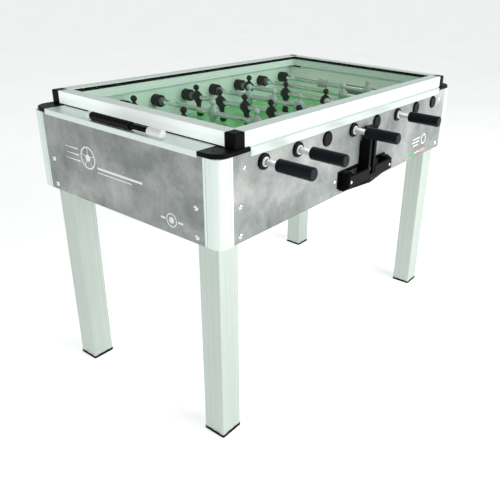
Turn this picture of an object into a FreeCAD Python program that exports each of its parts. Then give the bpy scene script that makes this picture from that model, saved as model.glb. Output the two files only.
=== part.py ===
import FreeCAD, Part
import math
import os

from FreeCAD import Vector

# Foosball table with eight telescopic rods under a glass cover, on four square legs.
# Millimetres. Z is up and 0 is the floor, X runs along the table, and the ball tray is on the -Y side.

# Cabinet
half_length = 685.0  # outer face of the end panels
half_width = 386.0  # outer face of the side panels
cabinet_bottom = 654.0
panel_top = 893.0
wall = 16.0
inner_width = half_width - wall  # inner face of the side panels
corner_reach = 52.0  # how far a corner profile covers each face
corner_radius = 26.0
corner_groove_offset = 10.0
groove_width = 2.0
groove_depth = 1.2

# Caps along the top of the walls
cap_top = 905.0
cap_proud = 2.0
skirt_bottom = 880.0
skirt_chamfer = 3.0
ledge_bottom = 889.0
plate_reach_x = 569.0  # where a corner plate ends along the side
plate_reach_y = 317.0  # where it ends along the end
plate_radius = 50.0

# Glass cover
cover_half_length = 618.0
cover_half_width = 380.0
cover_top = 945.0
rail_width = 42.0
block_size = 36.0
block_fillet = 4.0
rail_skin = 2.5
slot_depth = 6.0
slot_bottom = 933.0
slot_top = 943.0
glass_bottom = 936.0
glass_top = 941.0
gasket_lip = 2.5
recess_setback = 18.0  # from the cover's end to the screws on its end rails
recess_pitch = 262.0
recess_radius = 4.6
recess_depth = 1.3

# Playing field and goals
field_top = 778.0
field_thickness = 12.0
goal_wall_inner = 600.0
goal_wall_thickness = 15.0
goal_width = 200.0
goal_height = 74.0

# Legs
leg_size = 76.0
leg_inset_x = 29.0
leg_inset_y = 33.5
leg_top = 760.0
leg_skin = 3.0
leg_band_start = 15.0  # the shallow band in each face
leg_band_depth = 0.9
leg_rib_half_width = 4.0
leg_rib_depth = 0.2
leg_step_run = 2.5  # how far each step in the band slopes
leg_corner_radius = 4.0
foot_height = 8.0
foot_proud = 1.5
foot_plug_height = 14.0
bracket_bottom = 660.0
bracket_arm = 79.0

# Rods
rod_count = 8
rod_pitch = 148.0
rod_height = 856.0
tube_radius = 9.0
guide_radius = 6.0
running_clearance = 0.05
tube_plug_end = 325.0  # tube end nearest the blind plug, with the rod pushed in
tube_grip_end = 536.0
guide_inner_end = 100.0  # how far the guide reaches past the middle, inside the tube
guide_outer_end = 382.0
handle_sides = (-1, -1, 1, -1, 1, -1, 1, 1)  # the Y side of each rod's handle
team_sizes = (1, 2, 3, 5, 5, 3, 2, 1)
player_spacing = {2: 240.0, 3: 192.0, 5: 120.0}
first_player = 304.0
goalkeeper_offset = 92.0
player_leans = (9.0, 0.0, 0.0, 9.0, -5.0, 0.0, 0.0, 0.0)  # degrees about +Y, as each rod was left

# Handles, bushings, plugs and wall fittings
handle_start = 436.0
handle_end = 548.0
handle_radius = 18.0
handle_fillet = 4.0
panel_hole_radius = 20.0
bushing_flange_radius = 22.5
bushing_flange_thickness = 7.0
bushing_ring_radius = 13.0
bushing_ring_height = 3.0
plug_radius = 23.5
plug_thickness = 7.0
cup_length = 32.0
cup_radius = 22.0
cup_bore_radius = 14.0
buffer_start = 321.5
buffer_bore_radius = 9.4
buffer_radius = 13.5
collar_length = 36.0
collar_radius = 17.5
collar_offsets = (319.0, -135.0)

# Players
player_half_width = 17.0
head_radius = 11.5
head_centre = 35.5
hip_radius = 14.0
foot_drop = 73.5

# Score counters, one on each end ledge
counter_x = 671.0
counter_z = 917.5
counter_shaft_radius = 7.0
counter_start = 105.0
counter_end = -132.0
post_high_end = 123.0
post_low_end = -186.0
post_radius = 12.0
post_rounding = 7.0
post_foot_half_width = 7.0
post_foot_setback = 8.0
bead_count = 10
bead_pitch = 16.5
bead_gap = 0.4
bead_radius = 11.8
bead_clearance = 0.08

# Ball tray and coin column, in the middle of the front
tray_half_length = 138.0
tray_flange_half_length = 150.0
tray_flange_thickness = 5.0
tray_flange_bottom = 677.0
tray_flange_top = 733.5
tray_front = 426.0
tray_bottom = 669.0
tray_top = 732.0
tray_chamfer_y = 16.0
tray_chamfer_z = 10.0
tray_under_y = 23.0
tray_under_z = 17.0
tray_keel = 424.0  # how far forward the underside reaches in its middle
pocket_inner_x = 32.0
pocket_outer_x = 112.0
pocket_front = 422.0
pocket_floor = 678.0
pocket_web = 1.4  # what is left of the flange behind a pocket
outlet_bottom = 679.0
outlet_top = 722.0
column_half_width = 22.0
column_back_half_width = 25.0
column_front = 424.0
column_back_upper = 396.0
column_bottom = 700.0
column_shoulder = 808.0
column_top = 860.0
column_fillet = 6.0
slot_half_width = 9.5
slot_floor = 411.0
column_slot_top = 846.0
knob_radius = 6.0
knob_z = 715.0
knob_back = 412.4
knob_front = 419.0

# Ball return under the field
trough_end_z = 725.0
trough_middle_z = 690.0
trough_half_width = 110.0
trough_half_length = 664.0
sheet = 3.0
trough_wall = 34.0
trough_tilt = 2.0
chute_half_length = 128.0
chute_back_z = 688.0
chute_front_z = 679.5

# Screws
screw_radius = 9.0
screw_height = 4.2
socket_radius = 0.34  # of the head's radius, to the hexagon's points
socket_depth = 0.55  # of the head's height
shank_radius = 4.0
leg_screw_x = 606.0
leg_screw_y = 305.0
leg_screw_heights = (673.0, 755.0)
top_screw_x = 590.0
tray_screw_x = 126.0
tray_screw_z = 702.0
tray_screw_radius = 5.5
outer_tray_screw_x = 161.5
outer_tray_screw_z = 703.0
shank_depth = wall + 12.0

corners = [(sx, sy) for sx in (-1, 1) for sy in (-1, 1)]


def save(name, solids):
    """Write one node, a single solid or a group of separate ones."""
    shape = solids[0] if len(solids) == 1 else Part.makeCompound(solids)
    shape.exportStep(os.path.join("parts", name + ".step"))


def block(x0, x1, y0, y1, z0, z1):
    low = Vector(min(x0, x1), min(y0, y1), min(z0, z1))
    return Part.makeBox(abs(x1 - x0), abs(y1 - y0), abs(z1 - z0), low)


def prism(points, direction):
    """A solid swept from a closed outline of points."""
    corners_3d = [Vector(*p) for p in points]
    outline = Part.makePolygon(corners_3d + [corners_3d[0]])
    return Part.Face(outline).extrude(Vector(*direction))


def rod_cylinder(radius, x, y0, y1, z=rod_height):
    """A cylinder along Y."""
    return Part.makeCylinder(radius, abs(y1 - y0), Vector(x, min(y0, y1), z), Vector(0, 1, 0))


def ring(outer, inner, x, y0, y1, z=rod_height):
    return rod_cylinder(outer, x, y0, y1, z).cut(rod_cylinder(inner, x, y0, y1, z))


def mirrored(shape, sx, sy):
    """Move a shape made in the -X, -Y corner to the corner (sx, sy)."""
    if sx > 0:
        shape = shape.mirror(Vector(0, 0, 0), Vector(1, 0, 0))
    if sy > 0:
        shape = shape.mirror(Vector(0, 0, 0), Vector(0, 1, 0))
    return shape


def edges_at_y(shape, y):
    """Circular edges that lie in the plane at y."""
    return [e for e in shape.Edges if abs(e.BoundBox.YMin - y) < 0.01 and abs(e.BoundBox.YMax - y) < 0.01]


def rod_x(k):
    return (k - (rod_count - 1) / 2.0) * rod_pitch


# Screws ----------------------------------------------------------------------------------------------------------


def screw_places():
    """Each screw as its point on the outer face, the outward direction and the head's radius."""
    places = []
    for sx, sy in corners:
        for z in leg_screw_heights:
            places.append((Vector(sx * half_length, sy * leg_screw_y, z), Vector(sx, 0, 0), screw_radius))
            places.append((Vector(sx * leg_screw_x, sy * half_width, z), Vector(0, sy, 0), screw_radius))
        top = Vector(sx * top_screw_x, sy * half_width, rod_height)
        places.append((top, Vector(0, sy, 0), screw_radius * 0.8))
    for sx in (-1, 1):
        tray = Vector(sx * tray_screw_x, -tray_front, tray_screw_z)
        places.append((tray, Vector(0, -1, 0), tray_screw_radius))
        outer = Vector(sx * outer_tray_screw_x, -half_width, outer_tray_screw_z)
        places.append((outer, Vector(0, -1, 0), screw_radius * 0.8))
    return places


def shank(place):
    point, outward, head = place
    on_tray = abs(point.y + tray_front) < 0.01
    depth = tray_front - half_width + wall if on_tray else shank_depth
    if head < screw_radius and not on_tray:
        depth = wall
    return Part.makeCylinder(shank_radius, depth, point, outward * -1)


def hexagon_socket(point, outward, head, height):
    across = Vector(0, 0, head * socket_radius)
    beside = outward.cross(across)
    base = point + outward * (height * (1.0 - socket_depth))
    outline = []
    for i in range(6):
        angle = math.radians(60 * i)
        corner = base + across * math.cos(angle) + beside * math.sin(angle)
        outline.append((corner.x, corner.y, corner.z))
    return prism(outline, outward * height)


def screw(place):
    """A domed head with a hexagon socket, cut from a sphere, on its shank."""
    point, outward, head = place
    height = screw_height * head / screw_radius
    sphere_radius = (head * head + height * height) / (2.0 * height)
    ball = Part.makeSphere(sphere_radius, point + outward * (height - sphere_radius))
    dome = ball.common(Part.makeCylinder(head, height, point, outward))
    return dome.fuse(shank(place)).removeSplitter().cut(hexagon_socket(point, outward, head, height))


screws = screw_places()
shanks = Part.makeCompound([shank(place) for place in screws])


# Cabinet ---------------------------------------------------------------------------------------------------------


def side_panel(sy):
    length = half_length - corner_reach
    panel = block(-length, length, sy * inner_width, sy * half_width, cabinet_bottom, panel_top)
    for k in range(rod_count):
        hole = rod_cylinder(panel_hole_radius, rod_x(k), sy * inner_width, sy * half_width)
        panel = panel.cut(hole)
    if sy < 0:
        for sx in (-1, 1):
            outlet = block(
                sx * pocket_inner_x, sx * pocket_outer_x, -inner_width, -half_width, outlet_bottom, outlet_top
            )
            panel = panel.cut(outlet)
    return panel.cut(shanks)


def end_panel(sx):
    width = half_width - corner_reach
    inner = half_length - wall
    return block(sx * inner, sx * half_length, -width, width, cabinet_bottom, panel_top).cut(shanks)


def corner_profile(sx, sy):
    """A quarter-round extrusion with two flat flanges, each marked off by a groove."""
    height = panel_top - cabinet_bottom
    cx = -(half_length - corner_radius)
    cy = -(half_width - corner_radius)
    end_x = -(half_length - corner_reach)
    end_y = -(half_width - corner_reach)
    centre = Vector(cx, cy, cabinet_bottom)
    outer = Part.makeCylinder(corner_radius, height, centre)
    inner = Part.makeCylinder(corner_radius - wall, height, centre)
    quarter = block(-half_length, cx, -half_width, cy, cabinet_bottom, panel_top)
    curve = outer.cut(inner).common(quarter)
    flange_x = block(cx, end_x, -half_width, -inner_width, cabinet_bottom, panel_top)
    flange_y = block(-half_length, -half_length + wall, cy, end_y, cabinet_bottom, panel_top)
    shape = curve.fuse([flange_x, flange_y])
    groove_x = end_x - corner_groove_offset
    groove_y = end_y - corner_groove_offset
    face_x = -half_length + groove_depth
    face_y = -half_width + groove_depth
    cut_x = block(groove_x, groove_x + groove_width, -half_width, face_y, cabinet_bottom, panel_top)
    cut_y = block(-half_length, face_x, groove_y, groove_y + groove_width, cabinet_bottom, panel_top)
    return mirrored(shape.cut([cut_x, cut_y]).removeSplitter(), sx, sy)


def goal_wall(sx):
    """The white wall at one end of the field, with the goal mouth in it."""
    outer = goal_wall_inner + goal_wall_thickness
    bottom = field_top - field_thickness
    plate = block(sx * goal_wall_inner, sx * outer, -inner_width, inner_width, bottom, panel_top)
    mouth = block(
        sx * goal_wall_inner, sx * outer, -goal_width / 2, goal_width / 2, field_top, field_top + goal_height
    )
    return plate.cut(mouth)


def side_skirt(sy):
    """The cap along one side wall, with a leg that hangs over the panel."""
    outer = half_width + cap_proud
    section = [
        (-outer, skirt_bottom),
        (-half_width, skirt_bottom),
        (-half_width, panel_top),
        (-inner_width, panel_top),
        (-inner_width, cap_top),
        (-outer + skirt_chamfer, cap_top),
        (-outer, cap_top - skirt_chamfer),
    ]
    points = [(-plate_reach_x, y, z) for y, z in section]
    return mirrored(prism(points, (2 * plate_reach_x, 0, 0)), -1, sy)


def end_ledge(sx):
    """The wide cap from the end panel to the goal wall."""
    outer = half_length + cap_proud
    section = [
        (-outer, ledge_bottom),
        (-half_length, ledge_bottom),
        (-half_length, panel_top),
        (-goal_wall_inner, panel_top),
        (-goal_wall_inner, cap_top),
        (-outer, cap_top),
    ]
    points = [(x, -plate_reach_y, z) for x, z in section]
    return mirrored(prism(points, (0, 2 * plate_reach_y, 0)), sx, -1)


def corner_cap(sx, sy):
    """A black plate over the corner profile, with the block that closes the cover's corner."""
    outer_x = -(half_length + cap_proud)
    outer_y = -(half_width + cap_proud)
    slant = plate_radius * (1.0 - math.sqrt(0.5))
    start = Vector(outer_x, outer_y + plate_radius, panel_top)
    middle = Vector(outer_x + slant, outer_y + slant, panel_top)
    end = Vector(outer_x + plate_radius, outer_y, panel_top)
    path = [
        end,
        Vector(-plate_reach_x, outer_y, panel_top),
        Vector(-plate_reach_x, -inner_width, panel_top),
        Vector(-goal_wall_inner, -inner_width, panel_top),
        Vector(-goal_wall_inner, -plate_reach_y, panel_top),
        Vector(outer_x, -plate_reach_y, panel_top),
        start,
    ]
    edges = [Part.LineSegment(a, b).toShape() for a, b in zip(path, path[1:])]
    edges.append(Part.Arc(start, middle, end).toShape())
    outline = Part.Wire(Part.__sortEdges__(edges))
    plate = Part.Face(outline).extrude(Vector(0, 0, cap_top - panel_top))
    rim = [e for e in plate.Edges if on_plate_rim(e, outer_x, outer_y)]
    plate = plate.makeFillet(2.5, rim)
    x0 = -cover_half_length
    y0 = -cover_half_width
    post = block(x0, x0 + block_size, y0, y0 + block_size, cap_top - 1.0, cover_top)
    rounded = [e for e in post.Edges if e.BoundBox.ZMax > cover_top - 0.01]
    post = post.makeFillet(block_fillet, rounded)
    return mirrored(plate.fuse(post).removeSplitter(), sx, sy)


def on_plate_rim(edge, outer_x, outer_y):
    """True for the plate's top and bottom edges along its outer faces and round its corner."""
    box = edge.BoundBox
    level = box.ZLength < 0.01
    on_end = box.XMax < outer_x + 0.01
    on_side = box.YMax < outer_y + 0.01
    return level and (on_end or on_side or isinstance(edge.Curve, Part.Circle))


# Glass cover -----------------------------------------------------------------------------------------------------


def cover_ring(half_x, half_y, z0, z1):
    return block(-half_x, half_x, -half_y, half_y, z0, z1)


def cover_rails():
    """Four tubular rails, mitred at their inner corners, with a slot for the glass and recesses for the screws."""
    inner_x = cover_half_length - rail_width
    inner_y = cover_half_width - rail_width
    block_x = cover_half_length - block_size
    block_y = cover_half_width - block_size
    slot = cover_ring(inner_x + slot_depth, inner_y + slot_depth, slot_bottom, slot_top)
    cavity_top = slot_bottom - rail_skin
    side = [
        (-block_x, -cover_half_width),
        (block_x, -cover_half_width),
        (block_x, -block_y),
        (inner_x, -inner_y),
        (-inner_x, -inner_y),
        (-block_x, -block_y),
    ]
    end = [
        (-cover_half_length, -block_y),
        (-block_x, -block_y),
        (-inner_x, -inner_y),
        (-inner_x, inner_y),
        (-block_x, block_y),
        (-cover_half_length, block_y),
    ]
    height = (0, 0, cover_top - cap_top)
    side_rail = prism([(x, y, cap_top) for x, y in side], height)
    end_rail = prism([(x, y, cap_top) for x, y in end], height)
    side_cavity = block(
        -block_x, block_x, -cover_half_width + rail_skin, -block_y - rail_skin, cap_top + rail_skin, cavity_top
    )
    end_cavity = block(
        -cover_half_length + rail_skin, -block_x - rail_skin, -block_y, block_y, cap_top + rail_skin, cavity_top
    )
    side_rail = side_rail.cut([slot, side_cavity])
    recesses = [
        Part.makeCylinder(
            recess_radius,
            recess_depth,
            Vector(-cover_half_length + recess_setback, row * recess_pitch, cover_top - recess_depth),
        )
        for row in (-1, 0, 1)
    ]
    end_rail = end_rail.cut([slot, end_cavity] + recesses)
    turned = [mirrored(side_rail, -1, 1), mirrored(end_rail, 1, -1)]
    return [side_rail, end_rail] + turned


def cover_glass():
    half_x = cover_half_length - rail_width + slot_depth - 1.0
    half_y = cover_half_width - rail_width + slot_depth - 1.0
    return cover_ring(half_x, half_y, glass_bottom, glass_top)


def cover_gasket():
    inner_x = cover_half_length - rail_width
    inner_y = cover_half_width - rail_width
    body = cover_ring(inner_x + slot_depth, inner_y + slot_depth, slot_bottom, slot_top)
    window = cover_ring(inner_x - gasket_lip, inner_y - gasket_lip, slot_bottom, slot_top)
    return body.cut([window, cover_glass()])


# Legs ------------------------------------------------------------------------------------------------------------


def leg_section():
    """One face of the leg's outline as (distance along, depth), repeated on all four faces."""
    band_end = leg_size - leg_band_start
    rib_start = leg_size / 2.0 - leg_rib_half_width
    rib_end = leg_size / 2.0 + leg_rib_half_width
    return [
        (0.0, 0.0),
        (leg_band_start, 0.0),
        (leg_band_start + leg_step_run, leg_band_depth),
        (rib_start - leg_step_run, leg_band_depth),
        (rib_start, leg_rib_depth),
        (rib_end, leg_rib_depth),
        (rib_end + leg_step_run, leg_band_depth),
        (band_end - leg_step_run, leg_band_depth),
        (band_end, 0.0),
    ]


def leg(sx, sy):
    """A square extrusion with a ribbed band down each face."""
    centre_x = -(half_length - leg_inset_x - leg_size / 2.0)
    centre_y = -(half_width - leg_inset_y - leg_size / 2.0)
    half = leg_size / 2.0
    outline = []
    for turn in range(4):
        angle = math.radians(90 * turn)
        for along, depth in leg_section():
            x = along - half
            y = depth - half
            outline.append(
                (
                    centre_x + x * math.cos(angle) - y * math.sin(angle),
                    centre_y + x * math.sin(angle) + y * math.cos(angle),
                    foot_height,
                )
            )
    shape = prism(outline, (0, 0, leg_top - foot_height))
    corner_edges = [
        e
        for e in shape.Edges
        if abs(abs(e.BoundBox.Center.x - centre_x) - half) < 0.01
        and abs(abs(e.BoundBox.Center.y - centre_y) - half) < 0.01
    ]
    shape = shape.makeFillet(leg_corner_radius, corner_edges)
    bore = half - leg_skin - leg_band_depth
    hollow = block(centre_x - bore, centre_x + bore, centre_y - bore, centre_y + bore, foot_height, leg_top)
    return mirrored(shape.cut(hollow), sx, sy)


def leg_foot(sx, sy):
    """A black cap under the leg, with a plug that fills the extrusion's end."""
    centre_x = -(half_length - leg_inset_x - leg_size / 2.0)
    centre_y = -(half_width - leg_inset_y - leg_size / 2.0)
    half = leg_size / 2.0 + foot_proud
    pad = block(centre_x - half, centre_x + half, centre_y - half, centre_y + half, 0, foot_height)
    upright = [e for e in pad.Edges if e.BoundBox.ZLength > foot_height - 0.01]
    pad = pad.makeFillet(5.0, upright)
    top = [e for e in pad.Edges if e.BoundBox.ZMin > foot_height - 0.01]
    pad = pad.makeChamfer(1.0, top)
    bore = leg_size / 2.0 - leg_skin - leg_band_depth
    plug = block(
        centre_x - bore, centre_x + bore, centre_y - bore, centre_y + bore, foot_height, foot_height + foot_plug_height
    )
    return mirrored(pad.fuse(plug).removeSplitter(), sx, sy)


def leg_bracket(sx, sy):
    """The angle that fills the gap between the leg and the two panels."""
    inner_x = -(half_length - wall)
    inner_y = -inner_width
    leg_x = -(half_length - leg_inset_x)
    leg_y = -(half_width - leg_inset_y)
    bend = corner_radius
    outline = [
        (inner_x, -half_width + bend),
        (-half_length + bend, inner_y),
        (inner_x + bracket_arm, inner_y),
        (inner_x + bracket_arm, leg_y),
        (leg_x, leg_y),
        (leg_x, inner_y + bracket_arm),
        (inner_x, inner_y + bracket_arm),
    ]
    points = [(x, y, bracket_bottom) for x, y in outline]
    angle = prism(points, (0, 0, leg_top - bracket_bottom))
    return mirrored(angle, sx, sy).cut(shanks)


# Field and ball return -------------------------------------------------------------------------------------------


def playing_field():
    return block(
        -goal_wall_inner, goal_wall_inner, -inner_width, inner_width, field_top - field_thickness, field_top
    )


def trough_plate(x0, x1, y0, y1, low, high):
    """A plate that follows the trough's slope, from low to high millimetres above its underside."""
    fall = math.tan(math.radians(trough_tilt))
    climb = (trough_end_z - trough_middle_z) / trough_half_length
    start = trough_middle_z + climb * abs(x0) + fall * y0
    end = trough_middle_z + climb * abs(x1) + fall * y0
    points = [(x0, y0, start + low), (x1, y0, end + low), (x1, y0, end + high), (x0, y0, start + high)]
    return prism(points, (0, y1 - y0, fall * (y1 - y0)))


def ball_ramp():
    """Sheet plates: a trough below both goals, and a chute from its middle to the front outlets."""
    plates = []
    inner = trough_half_width - sheet
    for sx in (-1, 1):
        end = sx * trough_half_length
        plates.append(trough_plate(0.0, end, -trough_half_width, trough_half_width, 0.0, sheet))
        plates.append(trough_plate(0.0, end, inner, trough_half_width, sheet, trough_wall))
        plates.append(trough_plate(sx * chute_half_length, end, -trough_half_width, -inner, sheet, trough_wall))
    slope = [
        (-trough_half_width, chute_back_z - sheet),
        (-inner_width, chute_front_z - sheet),
        (-inner_width, chute_front_z),
        (-trough_half_width, chute_back_z),
    ]
    plates.append(prism([(-chute_half_length, y, z) for y, z in slope], (2 * chute_half_length, 0, 0)))
    for sx in (-1, 1):
        cheek = [
            (-trough_half_width, chute_back_z),
            (-inner_width, chute_front_z),
            (-inner_width, chute_front_z + trough_wall),
            (-trough_half_width, chute_back_z + trough_wall),
        ]
        x = sx * chute_half_length
        plates.append(prism([(x, y, z) for y, z in cheek], (-sx * sheet, 0, 0)))
    return plates


# Rods ------------------------------------------------------------------------------------------------------------


def guide(k):
    """The fixed-length inner rod, which turns in its blind plug."""
    side = handle_sides[k]
    return rod_cylinder(guide_radius, rod_x(k), -side * guide_outer_end, side * guide_inner_end)


def tube(k):
    """The outer tube that slides along the guide."""
    side = handle_sides[k]
    return ring(
        tube_radius, guide_radius + running_clearance, rod_x(k), -side * tube_plug_end, side * tube_grip_end
    )


def handle(k):
    side = handle_sides[k]
    grip = rod_cylinder(handle_radius, rod_x(k), side * handle_start, side * handle_end)
    grip = grip.makeFillet(handle_fillet, edges_at_y(grip, side * handle_start) + edges_at_y(grip, side * handle_end))
    return grip.cut(rod_cylinder(tube_radius, rod_x(k), side * handle_start, side * tube_grip_end))


def player_places(k):
    """Distances of the players' middles from the table's middle, towards the blind plug."""
    count = team_sizes[k]
    if count == 1:
        return [goalkeeper_offset]
    return [first_player - player_spacing[count] * i for i in range(count)]


def taper(z0, half_y0, half_x0, z1, half_y1, half_x1):
    """A loft between two rectangles, one at each height."""
    wires = []
    for z, hy, hx in ((z0, half_y0, half_x0), (z1, half_y1, half_x1)):
        points = [Vector(-hx, -hy, z), Vector(hx, -hy, z), Vector(hx, hy, z), Vector(-hx, hy, z)]
        wires.append(Part.makePolygon(points + [points[0]]))
    return Part.makeLoft(wires, True)


def player_blank():
    """One player around the rod axis, at the origin: head, neck, shoulders, hips, legs and boot."""
    hips = Part.makeCylinder(hip_radius, 2 * player_half_width, Vector(0, -player_half_width, 0), Vector(0, 1, 0))
    shoulders = taper(0.0, player_half_width, hip_radius - 1.0, 20.0, 11.0, 7.0)
    neck = Part.makeCylinder(6.0, 14.0, Vector(0, 0, 18.0))
    head = Part.makeSphere(head_radius, Vector(0, 0, head_centre))
    legs = taper(-54.0, 8.5, 7.0, 0.0, player_half_width - 2.0, hip_radius - 2.0)
    boot = taper(-foot_drop, 10.5, 9.0, -50.0, 8.5, 7.5)
    body = hips.fuse([shoulders, neck, head, legs, boot])
    bore = Part.makeCylinder(tube_radius, 3 * player_half_width, Vector(0, -1.5 * player_half_width, 0), Vector(0, 1, 0))
    return body.cut(bore).removeSplitter()


blank = player_blank()


def players(k):
    figures = []
    for place in player_places(k):
        figure = blank.copy()
        figure.rotate(Vector(0, 0, 0), Vector(0, 1, 0), -player_leans[k])
        figure.translate(Vector(rod_x(k), -handle_sides[k] * place, rod_height))
        figures.append(figure)
    return figures


def stop_collars(k):
    """The two barrels that stop a goalkeeper's rod at the wall cups."""
    collars = []
    for offset in collar_offsets:
        middle = -handle_sides[k] * offset
        collar = ring(
            collar_radius, tube_radius, rod_x(k), middle - collar_length / 2, middle + collar_length / 2
        )
        collars.append(collar)
    return collars


def bushing(k):
    """The flanged bearing that the tube slides and turns in."""
    side = handle_sides[k]
    x = rod_x(k)
    face = half_width + bushing_flange_thickness
    flange = rod_cylinder(bushing_flange_radius, x, side * half_width, side * face)
    flange = flange.makeFillet(2.0, edges_at_y(flange, side * face))
    barrel = rod_cylinder(panel_hole_radius, x, side * inner_width, side * half_width)
    lip = rod_cylinder(bushing_ring_radius, x, side * face, side * (face + bushing_ring_height))
    bore = rod_cylinder(
        tube_radius + running_clearance, x, side * inner_width, side * (face + bushing_ring_height)
    )
    return flange.fuse([barrel, lip]).cut(bore).removeSplitter()


def blind_plug(k):
    """The domed plug opposite each handle, with the guide's bearing on its inner side."""
    side = -handle_sides[k]
    x = rod_x(k)
    face = half_width + plug_thickness
    dome = rod_cylinder(plug_radius, x, side * half_width, side * face)
    dome = dome.makeFillet(plug_thickness - 1.5, edges_at_y(dome, side * face))
    barrel = rod_cylinder(panel_hole_radius, x, side * inner_width, side * half_width)
    bore = rod_cylinder(guide_radius + running_clearance, x, side * inner_width, side * (guide_outer_end + 1.0))
    return dome.fuse(barrel).cut(bore).removeSplitter()


def wall_cup(k, sy):
    cup = rod_cylinder(cup_radius, rod_x(k), sy * (inner_width - cup_length), sy * inner_width)
    cup = cup.makeFillet(2.0, edges_at_y(cup, sy * (inner_width - cup_length)))
    return cup.cut(rod_cylinder(cup_bore_radius, rod_x(k), sy * (inner_width - cup_length), sy * inner_width))


def wall_buffer(k, sy):
    """The rubber sleeve in a wall cup that the nearest player stops against."""
    return ring(buffer_radius, buffer_bore_radius, rod_x(k), sy * buffer_start, sy * inner_width)


# Score counters --------------------------------------------------------------------------------------------------


def end_for_end(shape, sx):
    """A counter is made at the -X end; the other end has the same one turned half round."""
    if sx > 0:
        shape = shape.copy()
        shape.rotate(Vector(0, 0, 0), Vector(0, 0, 1), 180)
    return shape


def counter_post(inner, outer):
    """A round support with a domed outer end, on a narrow foot."""
    post = rod_cylinder(post_radius, -counter_x, inner, outer, counter_z)
    post = post.makeFillet(post_rounding, edges_at_y(post, outer))
    foot_end = outer - math.copysign(post_foot_setback, outer)
    x0 = -counter_x - post_foot_half_width
    x1 = -counter_x + post_foot_half_width
    foot = block(x0, x1, inner, foot_end, cap_top, counter_z)
    return post.fuse(foot).removeSplitter()


def score_posts():
    pieces = []
    for sx in (-1, 1):
        for inner, outer in ((counter_start, post_high_end), (counter_end, post_low_end)):
            pieces.append(end_for_end(counter_post(inner, outer), sx))
        shaft = rod_cylinder(counter_shaft_radius, -counter_x, counter_end, counter_start, counter_z)
        pieces.append(end_for_end(shaft, sx))
    return pieces


def score_beads(sx):
    beads = []
    for i in range(bead_count):
        top = counter_start - bead_gap - i * bead_pitch
        bottom = top - bead_pitch + bead_gap
        bead = rod_cylinder(bead_radius, -counter_x, bottom, top, counter_z)
        bead = bead.makeFillet(2.0, edges_at_y(bead, bottom) + edges_at_y(bead, top))
        bore = rod_cylinder(counter_shaft_radius + bead_clearance, -counter_x, bottom, top, counter_z)
        beads.append(end_for_end(bead.cut(bore), sx))
    return beads


# Ball tray and coin column ---------------------------------------------------------------------------------------


def tray_flange():
    return block(
        -tray_flange_half_length,
        tray_flange_half_length,
        -half_width - tray_flange_thickness,
        -half_width,
        tray_flange_bottom,
        tray_flange_top,
    )


def ball_tray():
    """A chamfered housing with two open pockets, fed through the panel's outlets."""
    section = [
        (-half_width, tray_bottom),
        (-tray_front + tray_under_y, tray_bottom),
        (-tray_front, tray_bottom + tray_under_z),
        (-tray_front, tray_top - tray_chamfer_z),
        (-tray_front + tray_chamfer_y, tray_top),
        (-half_width, tray_top),
    ]
    points = [(-tray_half_length, y, z) for y, z in section]
    body = prism(points, (2 * tray_half_length, 0, 0))
    flange = tray_flange()
    keel = [
        (-tray_half_length, -half_width, tray_bottom),
        (-tray_half_length, -tray_front + tray_under_y, tray_bottom),
        (0.0, -tray_keel, tray_bottom),
        (tray_half_length, -tray_front + tray_under_y, tray_bottom),
        (tray_half_length, -half_width, tray_bottom),
    ]
    body = body.fuse([flange, prism(keel, (0, 0, tray_under_z))])
    for sx in (-1, 1):
        x0 = sx * pocket_inner_x
        x1 = sx * pocket_outer_x
        web = -half_width - pocket_web
        pocket = block(x0, x1, -pocket_front, web, pocket_floor, tray_top + 5.0)
        mouth = block(x0, x1, web, -half_width, pocket_floor, outlet_top)
        body = body.cut([pocket, mouth])
    seat = block(
        -column_half_width, column_half_width, -tray_front, -column_back_upper, column_bottom, tray_top + 5.0
    )
    return body.cut(seat).cut(shanks).removeSplitter()


def coin_column():
    """An upright housing with a slot down its front; its upper part stands clear of the panel."""
    front = block(
        -column_half_width, column_half_width, -column_front, -column_back_upper, column_bottom, column_top
    )
    edges = [e for e in front.Edges if e.BoundBox.ZMin > column_top - 0.01]
    front = front.makeFillet(column_fillet, edges)
    back = block(
        -column_back_half_width,
        column_back_half_width,
        -column_back_upper,
        -half_width,
        tray_top,
        column_shoulder,
    ).cut(tray_flange())
    slot = block(
        -slot_half_width, slot_half_width, -column_front, -slot_floor, column_bottom, column_slot_top
    )
    return front.fuse(back).cut(slot).removeSplitter()


def release_knob():
    knob = rod_cylinder(knob_radius, 0.0, -knob_back, -knob_front, knob_z)
    return knob.makeFillet(1.5, edges_at_y(knob, -knob_front))


# Nodes -----------------------------------------------------------------------------------------------------------

os.makedirs("parts", exist_ok=True)

both = (-1, 1)
save("side_panels", [side_panel(s) for s in both])
save("end_panels", [end_panel(s) for s in both])
save("corner_profiles", [corner_profile(sx, sy) for sx, sy in corners])
save("goal_walls", [goal_wall(s) for s in both])
save("playing_field", [playing_field()])
save("ball_ramp", ball_ramp())
save("legs", [leg(sx, sy) for sx, sy in corners])
save("leg_feet", [leg_foot(sx, sy) for sx, sy in corners])
save("leg_brackets", [leg_bracket(sx, sy) for sx, sy in corners])
save("side_skirts", [side_skirt(s) for s in both])
save("end_ledges", [end_ledge(s) for s in both])
save("corner_caps", [corner_cap(sx, sy) for sx, sy in corners])
save("cover_rails", cover_rails())
save("cover_glass", [cover_glass()])
save("cover_gasket", [cover_gasket()])
save("panel_screws", [screw(place) for place in screws])
save("rod_bushings", [bushing(k) for k in range(rod_count)])
save("blind_plugs", [blind_plug(k) for k in range(rod_count)])
save("wall_cups", [wall_cup(k, s) for k in range(rod_count) for s in both])
save("wall_buffers", [wall_buffer(k, s) for k in range(1, rod_count - 1) for s in both])
save("score_posts", score_posts())
save("score_beads_left", score_beads(-1))
save("score_beads_right", score_beads(1))
save("ball_tray", [ball_tray()])
save("coin_column", [coin_column()])
save("release_knob", [release_knob()])
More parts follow.
